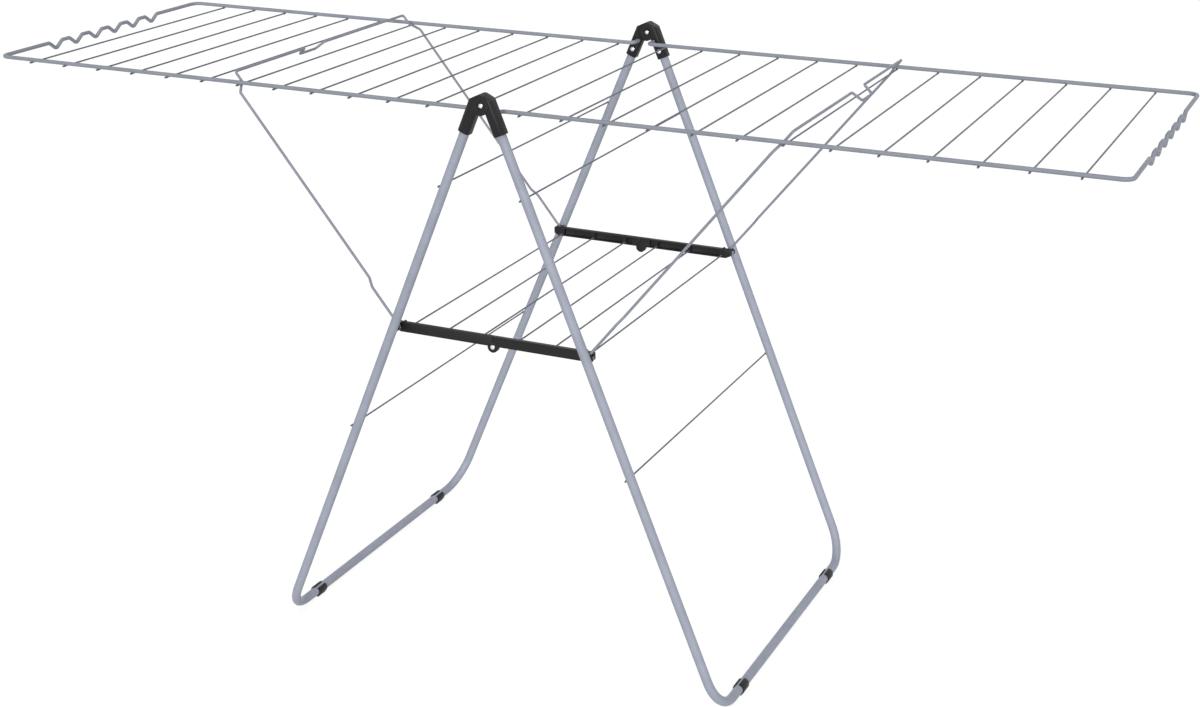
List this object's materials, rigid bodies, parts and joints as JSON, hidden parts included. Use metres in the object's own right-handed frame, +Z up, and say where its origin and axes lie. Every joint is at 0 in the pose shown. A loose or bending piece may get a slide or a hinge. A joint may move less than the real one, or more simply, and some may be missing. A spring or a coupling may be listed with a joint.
{
  "type": "clothes drying rack",
  "caption": "Winged floor-standing clothes drying rack with crossing tube legs, wire wings on bent wire supports, and a folding wire shelf.",
  "frame": {"origin": "centre of the footprint, on the floor", "axes": "+Z up, +X from the left wing to the right wing, +Y to the back"},
  "size_m": [1.7308, 0.586, 0.881],
  "materials": {
    "coated_steel": "satin powder coat",
    "black_plastic": "fine grained moulding",
    "rivet": "bright"
  },
  "bodies": {
    "left_frame": {"left_leg_tube": "coated_steel", "left_upper_rung": "coated_steel", "left_lower_rung": "coated_steel", "left_front_cap": "black_plastic", "left_back_cap": "black_plastic", "left_cap_rivets": "rivet", "left_foot_clips": "black_plastic", "left_pins": "rivet", "left_spacers": "black_plastic", "apex_rivets": "rivet"},
    "right_frame": {"right_leg_tube": "coated_steel", "right_upper_rung": "coated_steel", "right_lower_rung": "coated_steel", "right_front_cap": "black_plastic", "right_back_cap": "black_plastic", "right_cap_rivets": "rivet", "right_foot_clips": "black_plastic", "right_pins": "rivet", "right_spacers": "black_plastic"},
    "left_wing": {"left_wing_frame": "coated_steel", "left_wing_wires": "coated_steel"},
    "right_wing": {"right_wing_frame": "coated_steel", "right_wing_wires": "coated_steel"},
    "left_prop": {"left_support": "coated_steel"},
    "right_prop": {"right_support": "coated_steel"},
    "left_shelf": {"left_front_bar": "black_plastic", "left_back_bar": "black_plastic", "left_shelf_wires": "coated_steel", "ear_rivets": "rivet"},
    "right_shelf": {"right_front_bar": "black_plastic", "right_back_bar": "black_plastic", "right_shelf_wires": "coated_steel", "right_pin_ends": "rivet"}
  },
  "joints": [
    {"name": "leg_fold", "type": "hinge", "parent": "left_frame", "child": "right_frame", "pos_m": [0, 0, 0.865], "axis": [0, 1, 0], "range_deg": [0, 45]},
    {"name": "shelf_lift", "type": "hinge", "parent": "left_frame", "child": "left_shelf", "pos_m": [-0.15542, 0, 0.518], "axis": [0, -1, 0], "range_deg": [0, 66.88]},
    {"name": "shelf_fold", "type": "hinge", "parent": "left_shelf", "child": "right_shelf", "pos_m": [0, 0, 0.509], "axis": [0, 1, 0], "range_deg": [0, 178.72]},
    {"name": "left_wing_lift", "type": "hinge", "parent": "left_frame", "child": "left_wing", "pos_m": [-0.0132, 0, 0.8515], "axis": [0, 1, 0], "range_deg": [0, 6.5]},
    {"name": "right_wing_lift", "type": "hinge", "parent": "right_frame", "child": "right_wing", "pos_m": [0.0132, 0, 0.8515], "axis": [0, -1, 0], "range_deg": [0, 6.5]},
    {"name": "left_prop_swing", "type": "hinge", "parent": "left_frame", "child": "left_prop", "pos_m": [-0.15542, 0, 0.518], "axis": [0, 1, 0], "range_deg": [0, 9.15]},
    {"name": "right_prop_swing", "type": "hinge", "parent": "right_frame", "child": "right_prop", "pos_m": [0.15542, 0, 0.518], "axis": [0, -1, 0], "range_deg": [0, 9.15]}
  ],
  "couplings": [
    {"joint": "shelf_lift", "follows": "leg_fold", "ratio": 1.4852},
    {"joint": "shelf_fold", "follows": "leg_fold", "ratio": 3.9705},
    {"joint": "left_prop_swing", "follows": "left_wing_lift", "ratio": 1.4},
    {"joint": "right_prop_swing", "follows": "right_wing_lift", "ratio": 1.4}
  ]
}
